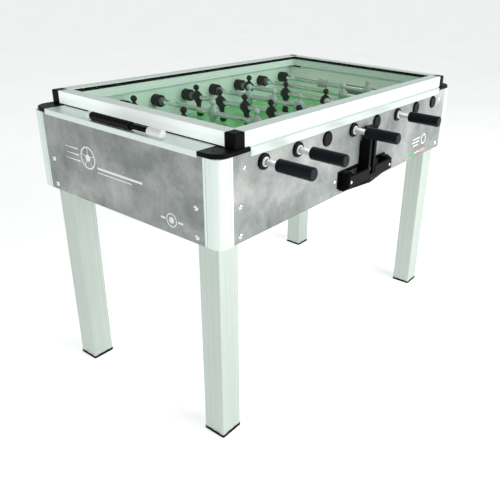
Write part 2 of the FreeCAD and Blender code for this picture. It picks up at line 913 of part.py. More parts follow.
for k in range(rod_count):
    label = "rod_%d_" % (k + 1)
    save(label + "guide", [guide(k)])
    save(label + "tube", [tube(k)])
    save(label + "handle", [handle(k)])
    save(label + "players", players(k))
    if team_sizes[k] == 1:
        save(label + "collars", stop_collars(k))
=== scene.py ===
import math

import bmesh
import bpy
from mathutils import Matrix, Vector


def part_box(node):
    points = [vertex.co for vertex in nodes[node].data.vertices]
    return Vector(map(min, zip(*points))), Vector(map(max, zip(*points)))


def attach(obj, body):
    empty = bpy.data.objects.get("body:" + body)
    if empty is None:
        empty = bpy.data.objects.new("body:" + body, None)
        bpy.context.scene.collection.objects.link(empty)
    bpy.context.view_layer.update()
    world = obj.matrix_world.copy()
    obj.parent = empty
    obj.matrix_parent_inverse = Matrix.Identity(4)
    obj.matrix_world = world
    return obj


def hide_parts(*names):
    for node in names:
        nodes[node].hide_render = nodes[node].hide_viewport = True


# The looks of a foosball table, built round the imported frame. Metres; -Y is the side with the ball tray.
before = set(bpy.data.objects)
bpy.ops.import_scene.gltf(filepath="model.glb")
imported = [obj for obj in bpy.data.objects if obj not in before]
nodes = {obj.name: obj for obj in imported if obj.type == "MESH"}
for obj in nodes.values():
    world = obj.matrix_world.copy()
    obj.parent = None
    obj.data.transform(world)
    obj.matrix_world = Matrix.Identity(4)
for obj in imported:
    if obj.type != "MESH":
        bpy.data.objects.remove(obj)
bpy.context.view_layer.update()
scene = bpy.context.scene

ROD_COUNT = 8
TEAM_SIZES = (1, 2, 3, 5, 5, 3, 2, 1)
PLAYER_SPACING = {2: 0.240, 3: 0.192, 5: 0.120}
FIRST_PLAYER = 0.304
GOALKEEPER_OFFSET = 0.092
PLAYER_LEANS = (9.0, 0.0, 0.0, 9.0, -5.0, 0.0, 0.0, 0.0)
DARK_RODS = (0, 1, 3, 5)
MM = 0.001
BODY_POINTS = 24
ARM_POINTS = 12
ARM_FLATNESS = 0.55
RING_STEPS = 40
PRINT_THICKNESS = 0.00025

CAMERA_PLACE = (-1.6315, -1.3039, 1.3159)
CAMERA_TURN = (65.514, -2.216, -54.127)  # degrees
CAMERA_LENS = 41.684
CAMERA_SHIFT = (-0.1107, -0.0374)
CAMERA_REACH = 200.0
LIGHT_TARGET = (0.0, 0.0, 0.8)
LIGHTS = (  # name, place, width and height, power
    ("key", (0.7, -3.5, 1.9), (3.2, 2.0), 108.0),
    ("fill", (-3.4, 0.6, 1.6), (2.4, 1.8), 12.0),
    ("top", (0.0, 0.3, 3.4), (3.4, 2.4), 15.0),
)
SKY = (  # height on a unit sphere, colour
    (0.02, (1.0, 1.0, 1.0)),
    (0.12, (0.56, 0.60, 0.59)),
    (0.80, (0.34, 0.37, 0.36)),
)
SKY_STRENGTH = 0.82
FLOOR_REACH = 70.0

TEXTURE_LOW = 0.3  # most of a noise texture's values lie between these two
TEXTURE_HIGH = 0.7
ALONG_X = (0.004, 1.0, 1.0)  # stretches a texture into lines along an extrusion
ALONG_Y = (1.0, 0.004, 1.0)
ALONG_Z = (1.0, 1.0, 0.004)
PANEL_MIDDLE_Y = 0.374  # inside the side panels' thickness
RAIL_CORNER_X = 0.592  # the cover's side rails end here and its end rails begin
COVER_END_X = 0.6175  # just inside the cover's end faces
PRINT_SKIN = 0.001  # how deep the playing field's print is taken to go


# Camera and light --------------------------------------------------------------------------------


def make_camera():
    data = bpy.data.cameras.new("camera")
    data.sensor_width = 36.0
    data.lens = CAMERA_LENS
    data.shift_x, data.shift_y = CAMERA_SHIFT
    data.clip_end = CAMERA_REACH
    camera = bpy.data.objects.new("camera", data)
    camera.location = CAMERA_PLACE
    camera.rotation_euler = [math.radians(a) for a in CAMERA_TURN]
    scene.collection.objects.link(camera)
    scene.camera = camera


def area_light(name, location, size, power):
    data = bpy.data.lights.new(name, "AREA")
    data.shape = "RECTANGLE"
    data.size, data.size_y = size
    data.energy = power
    light = bpy.data.objects.new(name, data)
    light.location = location
    direction = Vector(LIGHT_TARGET) - Vector(location)
    light.rotation_euler = direction.to_track_quat("-Z", "Y").to_euler()
    scene.collection.objects.link(light)


def fill_ramp(node, stops):
    """Give a colour ramp node its stops, each a position and a colour."""
    elements = node.color_ramp.elements
    while len(elements) < len(stops):
        elements.new(0.5)
    for element, (position, colour) in zip(elements, stops):
        element.position = position
        element.color = (*colour, 1.0)


def make_world():
    """A pale studio, white at the horizon and dimmer overhead."""
    world = bpy.data.worlds.new("studio")
    scene.world = world
    world.use_nodes = True
    tree = world.node_tree
    coordinates = tree.nodes.new("ShaderNodeTexCoord")
    split = tree.nodes.new("ShaderNodeSeparateXYZ")
    ramp = tree.nodes.new("ShaderNodeValToRGB")
    fill_ramp(ramp, SKY)
    tree.links.new(coordinates.outputs["Generated"], split.inputs["Vector"])
    tree.links.new(split.outputs["Z"], ramp.inputs["Fac"])
    tree.links.new(ramp.outputs["Color"], tree.nodes["Background"].inputs["Color"])
    tree.nodes["Background"].inputs["Strength"].default_value = SKY_STRENGTH


def make_studio():
    make_world()
    for name, place, size, power in LIGHTS:
        area_light(name, place, size, power)
    scene.view_settings.view_transform = "Standard"
    floor_mesh = bpy.data.meshes.new("floor")
    shape = bmesh.new()
    bmesh.ops.create_grid(shape, x_segments=1, y_segments=1, size=FLOOR_REACH)
    shape.to_mesh(floor_mesh)
    shape.free()
    floor = bpy.data.objects.new("floor", floor_mesh)
    scene.collection.objects.link(floor)
    floor.data.materials.append(floor_material())


# Materials ---------------------------------------------------------------------------------------


class Paint:
    """A Principled material with a few shorthands for its procedural nodes."""

    def __init__(self, name, roughness=0.4, metallic=0.0):
        self.material = bpy.data.materials.new(name)
        self.material.use_nodes = True
        self.tree = self.material.node_tree
        self.shader = self.tree.nodes["Principled BSDF"]
        self.shader.inputs["Roughness"].default_value = roughness
        self.shader.inputs["Metallic"].default_value = metallic
        self.coordinates = self.tree.nodes.new("ShaderNodeTexCoord")

    def link(self, source, target):
        self.tree.links.new(source, target)

    def set(self, **values):
        """Set shader sockets, named with _ for each space."""
        for name, value in values.items():
            self.shader.inputs[name.replace("_", " ")].default_value = value

    def mapped(self, stretch=(1.0, 1.0, 1.0)):
        mapping = self.tree.nodes.new("ShaderNodeMapping")
        mapping.inputs["Scale"].default_value = stretch
        self.link(self.coordinates.outputs["Object"], mapping.inputs["Vector"])
        return mapping.outputs["Vector"]

    def noise(self, scale, detail, stretch=(1.0, 1.0, 1.0), roughness=0.55, distortion=0.0):
        node = self.tree.nodes.new("ShaderNodeTexNoise")
        node.inputs["Scale"].default_value = scale
        node.inputs["Detail"].default_value = detail
        node.inputs["Roughness"].default_value = roughness
        node.inputs["Distortion"].default_value = distortion
        self.link(self.mapped(stretch), node.inputs["Vector"])
        return node.outputs["Fac"]

    def voronoi(self, scale):
        node = self.tree.nodes.new("ShaderNodeTexVoronoi")
        node.inputs["Scale"].default_value = scale
        self.link(self.mapped(), node.inputs["Vector"])
        return node.outputs["Distance"]

    def beyond(self, axis, level):
        """1 where the distance from the centre plane is more than level, otherwise 0."""
        split = self.tree.nodes.new("ShaderNodeSeparateXYZ")
        self.link(self.coordinates.outputs["Object"], split.inputs["Vector"])
        size = self.tree.nodes.new("ShaderNodeMath")
        size.operation = "ABSOLUTE"
        self.link(split.outputs[axis], size.inputs[0])
        test = self.tree.nodes.new("ShaderNodeMath")
        test.operation = "GREATER_THAN"
        test.inputs[1].default_value = level
        self.link(size.outputs["Value"], test.inputs[0])
        return test.outputs["Value"]

    def ramp(self, source, stops):
        node = self.tree.nodes.new("ShaderNodeValToRGB")
        fill_ramp(node, stops)
        self.link(source, node.inputs["Fac"])
        return node.outputs["Color"]

    def fade(self, source, low, high):
        """A colour between low and high over a texture's usual range."""
        return self.ramp(source, [(TEXTURE_LOW, low), (TEXTURE_HIGH, high)])

    def mix(self, first, second, amount, blend="MIX"):
        node = self.tree.nodes.new("ShaderNodeMix")
        node.data_type = "RGBA"
        node.blend_type = blend
        if isinstance(amount, float):
            node.inputs["Factor"].default_value = amount
        else:
            self.link(amount, node.inputs["Factor"])
        self.link(first, node.inputs["A"])
        self.link(second, node.inputs["B"])
        return node.outputs["Result"]

    def colour(self, source):
        self.link(source, self.shader.inputs["Base Color"])

    def glow(self, source, strength):
        self.link(source, self.shader.inputs["Emission Color"])
        self.set(Emission_Strength=strength)

    def rough(self, source, low, high):
        """Spread the roughness from low to high over a texture's usual range."""
        node = self.tree.nodes.new("ShaderNodeMapRange")
        node.inputs["From Min"].default_value = TEXTURE_LOW
        node.inputs["From Max"].default_value = TEXTURE_HIGH
        node.inputs["To Min"].default_value = low
        node.inputs["To Max"].default_value = high
        self.link(source, node.inputs["Value"])
        self.link(node.outputs["Result"], self.shader.inputs["Roughness"])

    def bump(self, source, distance):
        node = self.tree.nodes.new("ShaderNodeBump")
        node.inputs["Distance"].default_value = distance
        self.link(source, node.inputs["Height"])
        self.link(node.outputs["Normal"], self.shader.inputs["Normal"])


def grey(level):
    return (level, level, level)


def floor_material():
    """Pale studio floor, with a weak glow so that it comes out nearly white."""
    paint = Paint("floor", roughness=0.9)
    tone = paint.fade(paint.noise(1.5, 3.0), grey(0.90), grey(0.93))
    paint.colour(tone)
    paint.glow(tone, 0.60)
    paint.set(Specular_IOR_Level=0.1)
    return paint.material


def concrete_material(name, white_inside=False):
    """Grey laminate printed with the clouds, stains and pores of cast concrete.

    With white_inside, what lies nearer the centre plane than PANEL_MIDDLE_Y is white.
    """
    paint = Paint(name, roughness=0.5)
    clouds = paint.noise(6.5, 9.0, roughness=0.66, distortion=0.25)
    shades = [(0.28, (0.150, 0.168, 0.160)), (0.50, (0.300, 0.318, 0.310)), (0.72, (0.500, 0.505, 0.490))]
    base = paint.ramp(clouds, shades)
    blotches = paint.noise(2.6, 5.0, (1.0, 1.0, 0.8), 0.6, 0.4)
    stains = paint.ramp(blotches, [(0.36, grey(0.36)), (0.64, grey(0.62))])
    stained = paint.mix(base, stains, 0.55, "OVERLAY")
    grain = paint.fade(paint.noise(150.0, 6.0, roughness=0.75), grey(0.34), grey(0.66))
    grained = paint.mix(stained, grain, 0.40, "OVERLAY")
    pores = paint.ramp(paint.voronoi(90.0), [(0.02, grey(0.3)), (0.12, grey(1.0))])
    printed = paint.mix(grained, pores, 0.10, "MULTIPLY")
    if white_inside:
        pale = paint.fade(paint.noise(8.0, 3.0), (0.72, 0.84, 0.76), (0.78, 0.90, 0.82))
        printed = paint.mix(pale, printed, paint.beyond("Y", PANEL_MIDDLE_Y))
    paint.colour(printed)
    paint.rough(clouds, 0.42, 0.58)
    paint.set(Specular_IOR_Level=0.35)
    paint.bump(paint.noise(350.0, 3.0), 0.00006)
    return paint.material


def aluminium_material(name, stretch, tint=(0.76, 0.84, 0.80), metallic=0.45, rails=False):
    """Satin anodised aluminium with fine drawing lines along the extrusion.

    With rails, the lines turn along Y on the cover's end rails, whose end faces glow weakly as painted
    light, brightening them as if strongly lit.
    """
    paint = Paint(name, roughness=0.36, metallic=metallic)
    lines = paint.noise(110.0, 6.0, stretch, 0.62)
    if rails:
        other = paint.noise(110.0, 6.0, ALONG_Y, 0.62)
        pick = paint.tree.nodes.new("ShaderNodeMix")
        paint.link(paint.beyond("X", RAIL_CORNER_X), pick.inputs["Factor"])
        paint.link(lines, pick.inputs["A"])
        paint.link(other, pick.inputs["B"])
        lines = pick.outputs["Result"]
        # Painted light: the end rails' outer end faces glow weakly, brighter than the lamps make them.
        face = paint.ramp(paint.beyond("X", COVER_END_X), [(0.0, grey(0.0)), (1.0, grey(0.36))])
        paint.glow(face, 1.0)
    low = tuple(0.92 * c for c in tint)
    high = tuple(min(1.0, 1.06 * c) for c in tint)
    drawn = paint.fade(lines, low, high)
    wash = paint.fade(paint.noise(3.0, 2.0), grey(0.47), grey(0.53))
    paint.colour(paint.mix(drawn, wash, 0.5, "OVERLAY"))
    paint.rough(lines, 0.32, 0.40)
    paint.bump(lines, 0.00002)
    return paint.material


def plastic_material(name, dark, light, roughness, grain=700.0, depth=0.00004, gloss=0.5, glow=0.0):
    """Moulded plastic with a fine grain, faint cloudiness and uneven gloss; with glow, it also glows in its
    own tone as painted light.
    """
    paint = Paint(name)
    cloud = paint.noise(18.0, 3.0)
    tone = paint.fade(cloud, dark, light)
    paint.colour(tone)
    # Painted light: a glow in the plastic's own tone brightens it as if more light fell on it.
    if glow:
        paint.glow(tone, glow)
    paint.rough(cloud, *roughness)
    paint.set(Specular_IOR_Level=gloss)
    paint.bump(paint.noise(grain, 3.0), depth)
    return paint.material


def chrome_material(name, roughness, level):
    """Polished metal with faint wiping marks."""
    paint = Paint(name, metallic=1.0)
    wipe = paint.noise(40.0, 3.0, (1.0, 4.0, 1.0))
    paint.colour(paint.fade(wipe, grey(level * 0.97), grey(level)))
    paint.rough(wipe, *roughness)
    paint.bump(paint.noise(500.0, 2.0), 0.000004)
    return paint.material


def brass_material():
    """Dull brass, worn in vertical streaks."""
    paint = Paint("brass", metallic=0.5)
    wear = paint.noise(60.0, 5.0, (1.0, 1.0, 0.3))
    paint.colour(paint.fade(wear, (0.16, 0.13, 0.03), (0.30, 0.24, 0.07)))
    paint.rough(wear, 0.28, 0.5)
    return paint.material


def sheet_material():
    """Zinc-coated sheet with spangles."""
    paint = Paint("zinc_sheet", metallic=0.9)
    spangle = paint.voronoi(60.0)
    paint.colour(paint.ramp(spangle, [(0.1, grey(0.42)), (0.7, grey(0.62))]))
    paint.rough(spangle, 0.35, 0.5)
    return paint.material


def field_material():
    """Glossy green print with mown bands across the length, on a dark board."""
    paint = Paint("field_print", roughness=0.22)
    wave = paint.tree.nodes.new("ShaderNodeTexWave")
    wave.wave_type = "BANDS"
    wave.bands_direction = "X"
    wave.inputs["Scale"].default_value = 2.1
    wave.inputs["Distortion"].default_value = 0.3
    paint.link(paint.mapped(), wave.inputs["Vector"])
    bands = paint.ramp(wave.outputs["Fac"], [(0.45, (0.170, 0.640, 0.200)), (0.55, (0.215, 0.730, 0.250))])
    blades = paint.fade(paint.noise(400.0, 3.0, (1.0, 3.0, 1.0)), grey(0.42), grey(0.58))
    print_tone = paint.mix(bands, blades, 0.4, "OVERLAY")
    board = paint.fade(paint.noise(90.0, 5.0), (0.030, 0.026, 0.022), (0.060, 0.052, 0.044))
    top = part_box("playing_field")[1].z
    paint.colour(paint.mix(board, print_tone, paint.beyond("Z", top - PRINT_SKIN)))
    paint.rough(paint.noise(12.0, 3.0), 0.16, 0.30)
    paint.set(Specular_IOR_Level=0.3, Coat_Weight=0.1, Coat_Roughness=0.12)
    return paint.material


def glass_material():
    """Clear glass: what isn't reflected passes straight through, with a faint green tint."""
    material = bpy.data.materials.new("cover_glass")
    material.use_nodes = True
    tree = material.node_tree
    tree.nodes.clear()
    output = tree.nodes.new("ShaderNodeOutputMaterial")
    mix = tree.nodes.new("ShaderNodeMixShader")
    clear = tree.nodes.new("ShaderNodeBsdfTransparent")
    clear.inputs["Color"].default_value = (0.955, 0.985, 0.970, 1.0)
    gloss = tree.nodes.new("ShaderNodeBsdfGlossy")
    gloss.inputs["Roughness"].default_value = 0.03
    facing = tree.nodes.new("ShaderNodeLayerWeight")
    facing.inputs["Blend"].default_value = 0.5
    power = tree.nodes.new("ShaderNodeMath")
    power.operation = "POWER"
    power.inputs[1].default_value = 5.0
    scale = tree.nodes.new("ShaderNodeMath")
    scale.operation = "MULTIPLY_ADD"
    scale.inputs[1].default_value = 0.05
    scale.inputs[2].default_value = 0.006
    tree.links.new(facing.outputs["Facing"], power.inputs[0])
    tree.links.new(power.outputs["Value"], scale.inputs[0])
    tree.links.new(scale.outputs["Value"], mix.inputs["Fac"])
    tree.links.new(clear.outputs["BSDF"], mix.inputs[1])
    tree.links.new(gloss.outputs["BSDF"], mix.inputs[2])
    tree.links.new(mix.outputs["Shader"], output.inputs["Surface"])
    return material


def light_player_material():
    """Translucent pale moulding."""
    paint = Paint("player_light")
    cloud = paint.noise(60.0, 3.0)
    paint.colour(paint.fade(cloud, (0.46, 0.54, 0.51), (0.58, 0.65, 0.62)))
    paint.rough(cloud, 0.25, 0.4)
    paint.set(Subsurface_Weight=0.35, Subsurface_Scale=0.006, Coat_Weight=0.2, Coat_Roughness=0.2)
    return paint.material


MATERIALS = {
    "concrete_sides": concrete_material("concrete_sides", white_inside=True),
    "concrete_ends": concrete_material("concrete_ends"),
    "aluminium_x": aluminium_material("anodised_along_x", ALONG_X),
    "aluminium_y": aluminium_material("anodised_along_y", ALONG_Y),
    "aluminium_z": aluminium_material("anodised_along_z", ALONG_Z),
    "aluminium_rails": aluminium_material("anodised_rails", ALONG_X, (0.84, 0.92, 0.88), 0.12, rails=True),
    "aluminium_legs": aluminium_material("anodised_legs", ALONG_Z, (0.535, 0.605, 0.555)),
    "black": plastic_material("black_moulding", grey(0.002), grey(0.005), (0.32, 0.44), gloss=0.05),
    "black_gloss": plastic_material(
        "black_gloss", grey(0.002), grey(0.004), (0.18, 0.30), 300.0, 0.00001, gloss=0.09
    ),
    "rubber": plastic_material(
        "handle_rubber", (0.002, 0.003, 0.005), (0.004, 0.006, 0.010), (0.28, 0.40), 900.0, gloss=0.12
    ),
    "seal": plastic_material("seal_rubber", grey(0.002), grey(0.005), (0.6, 0.75), gloss=0.1),
    "buffer": plastic_material("buffer_rubber", grey(0.16), grey(0.24), (0.5, 0.7)),
    "chrome": chrome_material("chromed_steel", (0.08, 0.16), 0.86),
    "screw_chrome": chrome_material("screw_chrome", (0.06, 0.14), 0.74),
    "sheet": sheet_material(),
    "brass": brass_material(),
    "field": field_material(),
    "glass": glass_material(),
    # The goal walls' white laminate glows faintly: painted light that brightens the walls inside the
    # cabinet.
    "white": plastic_material(
        "white_laminate", (0.72, 0.76, 0.70), (0.80, 0.83, 0.77), (0.3, 0.42), 200.0, 0.00001, glow=0.16
    ),
    "white_gloss": plastic_material("white_moulding", grey(0.80), grey(0.86), (0.22, 0.34), 500.0, 0.00001),
    "print": plastic_material("white_print", grey(0.82), grey(0.88), (0.45, 0.55), 300.0, 0.00001),
    "print_green": plastic_material(
        "green_print", (0.05, 0.42, 0.10), (0.07, 0.50, 0.13), (0.45, 0.55), 300.0
    ),
    "print_coral": plastic_material(
        "coral_print", (0.60, 0.30, 0.34), (0.70, 0.38, 0.42), (0.45, 0.55), 300.0
    ),
    "player_black": plastic_material(
        "player_black", grey(0.002), grey(0.005), (0.24, 0.36), 400.0, 0.00002, gloss=0.18
    ),
    "player_light": light_player_material(),
    "collar": plastic_material("collar_plastic", grey(0.42), grey(0.52), (0.35, 0.5)),
}

NODE_MATERIALS = {
    "side_panels": "concrete_sides",
    "end_panels": "concrete_ends",
    "corner_profiles": "aluminium_z",
    "legs": "aluminium_legs",
    "side_skirts": "aluminium_x",
    "end_ledges": "aluminium_y",
    "cover_rails": "aluminium_rails",
    "leg_brackets": "aluminium_z",
    "leg_feet": "black",
    "corner_caps": "black",
    "goal_walls": "white",
    "playing_field": "field",
    "ball_ramp": "sheet",
    "cover_glass": "glass",
    "cover_gasket": "seal",
    "panel_screws": "screw_chrome",
    "rod_bushings": "black_gloss",
    "blind_plugs": "black_gloss",
    "wall_cups": "black_gloss",
    "wall_buffers": "buffer",
    "score_posts": "white_gloss",
    "score_beads_left": "black_gloss",
    "score_beads_right": "black_gloss",
    "ball_tray": "black",
    "coin_column": "black",
    "release_knob": "chrome",
}


def dress_nodes():
    """Give every carried-over CAD node its material."""
    for name, node in nodes.items():
        if name in NODE_MATERIALS:
            key = NODE_MATERIALS[name]
        elif name.endswith(("guide", "tube")):
            key = "chrome"
        elif name.endswith("handle"):
            key = "rubber"
        elif name.endswith("collars"):
            key = "collar"
        else:
            key = "player_black"
        node.data.materials.clear()
        node.data.materials.append(MATERIALS[key])


# Mesh helpers ------------------------------------------------------------------------------------


def piece(name, shape, material, body, smooth=True):
    """Turn a bmesh into an object that rides on a body."""
    bmesh.ops.recalc_face_normals(shape, faces=shape.faces)
    mesh = bpy.data.meshes.new(name)
    shape.to_mesh(mesh)
    shape.free()
    mesh.polygons.foreach_set("use_smooth", [smooth] * len(mesh.polygons))
    thing = bpy.data.objects.new(name, mesh)
    scene.collection.objects.link(thing)
    mesh.materials.append(MATERIALS[material])
    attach(thing, body)
    return thing


def loft(shape, rings):
    """Join rings of points, each ring with the same number of points, into a closed skin."""
    rows = [[shape.verts.new(p) for p in ring] for ring in rings]
    count = len(rows[0])
    for low, high in zip(rows, rows[1:]):
        for i in range(count):
            j = (i + 1) % count
            shape.faces.new((low[i], low[j], high[j], high[i]))
    shape.faces.new(rows[0])
    shape.faces.new(list(reversed(rows[-1])))


def spokes(axis, steps):
    """Unit vectors all round an axis, at even steps."""
    helper = Vector((0, 0, 1)) if abs(axis.z) < 0.9 else Vector((1, 0, 0))
    across = axis.cross(helper).normalized()
    other = axis.cross(across)
    angles = [2 * math.pi * i / steps for i in range(steps)]
    return [across * math.cos(angle) + other * math.sin(angle) for angle in angles]


def lathe(shape, profile, centre, axis, steps=32):
    """Turn a profile of (distance along the axis, radius) about an axis through centre."""
    axis = Vector(axis).normalized()
    around = spokes(axis, steps)
    loft(shape, [[Vector(centre) + axis * a + spoke * r for spoke in around] for a, r in profile])


def closed_lathe(shape, profile, centre, axis, steps=32):
    """A ring-shaped turning: the profile is a closed loop away from the axis."""
    axis = Vector(axis).normalized()
    rows = []
    for spoke in spokes(axis, steps):
        rows.append([shape.verts.new(Vector(centre) + axis * a + spoke * r) for a, r in profile])
    count = len(profile)
    for i in range(steps):
        here, there = rows[i], rows[(i + 1) % steps]
        for j in range(count):
            k = (j + 1) % count
            shape.faces.new((here[j], here[k], there[k], there[j]))


def oval(z, half_y, half_x, power, shift_x):
    """A ring between an ellipse (power 2) and a rounded rectangle, at height z."""
    ring = []
    for i in range(BODY_POINTS):
        angle = 2 * math.pi * i / BODY_POINTS
        c, s = math.cos(angle), math.sin(angle)
        x = math.copysign(abs(c) ** (2.0 / power), c) * half_x
        y = math.copysign(abs(s) ** (2.0 / power), s) * half_y
        ring.append(Vector((x + shift_x, y, z)))
    return ring


# Players -----------------------------------------------------------------------------------------


def player_mesh():
    """One player about the rod's axis at the origin, facing +X, worked out in millimetres."""
    shape = bmesh.new()
    sections = [  # height, half width, half depth, squareness, forward shift; from the boot to the crown
        (-73.5, 9.8, 8.2, 5.0, 0.6),
        (-72.6, 10.8, 9.2, 5.0, 0.6),
        (-66.0, 10.9, 9.6, 5.0, 0.8),
        (-59.0, 10.4, 9.2, 5.0, 0.6),
        (-54.0, 9.2, 7.8, 4.0, 0.0),
        (-50.0, 8.0, 6.6, 3.0, -0.3),
        (-44.0, 7.6, 6.0, 2.6, -0.4),
        (-36.0, 8.8, 6.6, 2.6, -0.4),
        (-28.0, 10.6, 7.8, 2.6, 0.0),
        (-21.0, 11.6, 8.8, 2.7, 0.2),
        (-14.5, 14.6, 11.4, 2.8, 0.0),
        (-8.0, 16.2, 12.8, 3.0, 0.0),
        (0.0, 16.8, 13.4, 3.0, 0.0),
        (7.0, 16.9, 13.0, 2.8, 0.0),
        (12.5, 16.0, 11.4, 2.6, 0.0),
        (17.0, 13.6, 9.0, 2.4, 0.0),
        (20.5, 9.6, 7.0, 2.2, 0.0),
        (23.0, 6.2, 5.6, 2.0, 0.0),
        (25.0, 5.4, 5.2, 2.0, 0.0),
        (26.6, 6.2, 6.2, 2.0, 0.2),
        (29.0, 8.8, 9.0, 2.0, 0.4),
        (32.0, 10.3, 10.8, 2.0, 0.4),
        (35.5, 10.8, 11.4, 2.0, 0.3),
        (39.0, 10.3, 10.9, 2.0, 0.2),
        (42.5, 8.4, 9.0, 2.0, 0.0),
        (45.4, 5.2, 5.6, 2.0, 0.0),
        (46.8, 1.8, 2.0, 2.0, 0.0),
    ]
    loft(shape, [oval(*section) for section in sections])
    sleeve = [(-17.0, 12.4), (-16.2, 13.4), (16.2, 13.4), (17.0, 12.4)]
    lathe(shape, sleeve, (0, 0, 0), (0, 1, 0))
    for side in (-1, 1):
        arm = [  # y, x, z, radius; from the shoulder down
            (side * 15.2, 0.0, 15.0, 3.2),
            (side * 17.6, 0.6, 9.0, 3.6),
            (side * 18.2, 1.0, 0.0, 3.4),
            (side * 17.0, 2.0, -10.0, 3.0),
            (side * 15.4, 3.0, -18.0, 2.4),
        ]
        rows = []
        for y, x, z, radius in arm:
            ring = []
            for i in range(ARM_POINTS):
                angle = 2 * math.pi * i / ARM_POINTS
                depth, width = radius * math.cos(angle), ARM_FLATNESS * radius * math.sin(angle)
                ring.append(Vector((x + depth, y + width, z)))
            rows.append(ring)
        loft(shape, rows)
    bmesh.ops.scale(shape, vec=(MM, MM, MM), verts=shape.verts)
    return shape


def player_places(k):
    """Where a rod's players stand, measured from the middle away from its handle's side."""
    count = TEAM_SIZES[k]
    if count == 1:
        return [GOALKEEPER_OFFSET]
    return [FIRST_PLAYER - PLAYER_SPACING[count] * i for i in range(count)]


def handle_side(k):
    """1 for a handle on the +Y side, -1 for one on the -Y side."""
    return 1.0 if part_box("rod_%d_handle" % (k + 1))[0].y > 0 else -1.0


def rod_axis(k):
    """The x and z of a rod's centre line."""
    low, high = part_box("rod_%d_tube" % (k + 1))
    return (low.x + high.x) / 2, (low.z + high.z) / 2


def make_players():
    blank = player_mesh()
    blank_mesh = bpy.data.meshes.new("player_blank")
    blank.to_mesh(blank_mesh)
    blank.free()
    for k in range(ROD_COUNT):
        x, z = rod_axis(k)
        dark = k in DARK_RODS
        facing = 0.0 if dark else math.pi
        shape = bmesh.new()
        for place in player_places(k):
            start = len(shape.verts)
            shape.from_mesh(blank_mesh)
            shape.verts.ensure_lookup_table()
            lean = Matrix.Rotation(math.radians(-PLAYER_LEANS[k]), 4, "Y")
            turn = Matrix.Rotation(facing, 4, "Z")
            move = Matrix.Translation((x, -handle_side(k) * place, z)) @ lean @ turn
            bmesh.ops.transform(shape, matrix=move, verts=shape.verts[start:])
        key = "player_black" if dark else "player_light"
        name = "rod_%d_" % (k + 1)
        team = piece(name + "team", shape, key, "rod_%d" % (k + 1))
        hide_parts(name + "players")
    bpy.data.meshes.remove(blank_mesh)


# Rod fittings ------------------------------------------------------------------------------------


def make_rod_fittings():
    """Pale sleeves in the bushings and a moulded cap in each handle's end."""
    sleeves = bmesh.new()
    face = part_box("rod_bushings")[1].y
    sleeve = [(-2.6, 9.3), (-2.6, 13.4), (0.2, 13.4), (0.8, 12.8), (0.8, 9.9), (0.2, 9.3)]
    disc = [(-3.0, 11.4), (-0.4, 11.6), (-0.1, 11.2), (-0.05, 9.0), (-0.6, 8.4), (-0.6, 3.0), (-0.5, 0.6)]
    for k in range(ROD_COUNT):
        x, z = rod_axis(k)
        side = handle_side(k)
        loop = [(a * MM, r * MM) for a, r in sleeve]
        closed_lathe(sleeves, loop, (x, side * face, z), (0, side, 0))
        cap = bmesh.new()
        low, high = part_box("rod_%d_handle" % (k + 1))
        end = high.y if side > 0 else low.y
        lathe(cap, [(a * MM, r * MM) for a, r in disc], (x, end, z), (0, side, 0))
        name = "rod_%d" % (k + 1)
        piece(name + "_end_cap", cap, "black_gloss", name)
    piece("bushing_sleeves", sleeves, "white_gloss", "cabinet")


# Field markings ----------------------------------------------------------------------------------


def strip(shape, x0, x1, y0, y1, z, height):
    """A thin flat bar on the field."""
    corners = [(x0, y0), (x1, y0), (x1, y1), (x0, y1)]
    loft(shape, [[Vector((x, y, level)) for x, y in corners] for level in (z, z + height)])


def arc_strip(shape, centre, radius, width, start, end, z, height, steps=48):
    """A flat curved band, as a closed solid."""
    rings = []
    for i in range(steps + 1):
        angle = start + (end - start) * i / steps
        c, s = math.cos(angle), math.sin(angle)
        inner, outer = radius - width / 2, radius + width / 2
        ring = []
        for r, dz in ((inner, 0.0), (outer, 0.0), (outer, height), (inner, height)):
            ring.append(Vector((centre[0] + r * c, centre[1] + r * s, z + dz)))
        rings.append(ring)
    loft(shape, rings)


def make_field_markings():
    """Outline, goal areas, arcs, penalty spots, centre line and centre circle."""
    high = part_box("playing_field")[1]
    z = high.z
    height = 0.0003
    width = 0.006
    half = width / 2
    areas = ((0.200, 0.230), (0.090, 0.140))  # depth and half width of each box before a goal
    spot_depth = 0.140
    arc_radius = 0.098
    arc_angle = 104
    circle_radius = 0.105
    lines = bmesh.new()
    edge_x = high.x - 0.020
    edge_y = high.y - 0.022
    for side in (-1, 1):
        goal_x = side * edge_x
        strip(lines, -edge_x, edge_x, side * edge_y - half, side * edge_y + half, z, height)
        strip(lines, goal_x - half, goal_x + half, -edge_y, edge_y, z, height)
        for depth, reach in areas:
            x = side * (edge_x - depth)
            strip(lines, x - half, x + half, -reach, reach, z, height)
            for end in (-1, 1):
                y = end * reach
                strip(lines, min(x, goal_x), max(x, goal_x), y - half, y + half, z, height)
        arc_start = math.radians(-arc_angle / 2) if side < 0 else math.radians(180 - arc_angle / 2)
        spot = (side * (edge_x - spot_depth), 0.0)
        arc_strip(lines, spot, arc_radius, width, arc_start, arc_start + math.radians(arc_angle), z, height)
        arc_strip(lines, spot, 0.004, 0.008, 0.0, 2 * math.pi, z, height, 20)
    strip(lines, -half, half, -edge_y, edge_y, z, height)
    arc_strip(lines, (0.0, 0.0), circle_radius, width, 0.0, 2 * math.pi, z, height, 72)
    piece("field_markings", lines, "print", "cabinet", smooth=False)


# Printed graphics, generic -----------------------------------------------------------------------


def on_end_panel(u, v, lift):
    """A point on the -X end: u runs to the right as the end is faced, v is height."""
    return Vector((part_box("end_panels")[0].x - lift, -u, v))


def on_front_panel(u, v, lift):
    """A point on the -Y side: u runs to the right as the side is faced, v is height."""
    return Vector((u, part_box("side_panels")[0].y - lift, v))


def decal(shape, outline, place):
    """A thin raised print: outline is a list of (u, v) points."""
    loft(shape, [[place(u, v, lift) for u, v in outline] for lift in (0.0, PRINT_THICKNESS)])


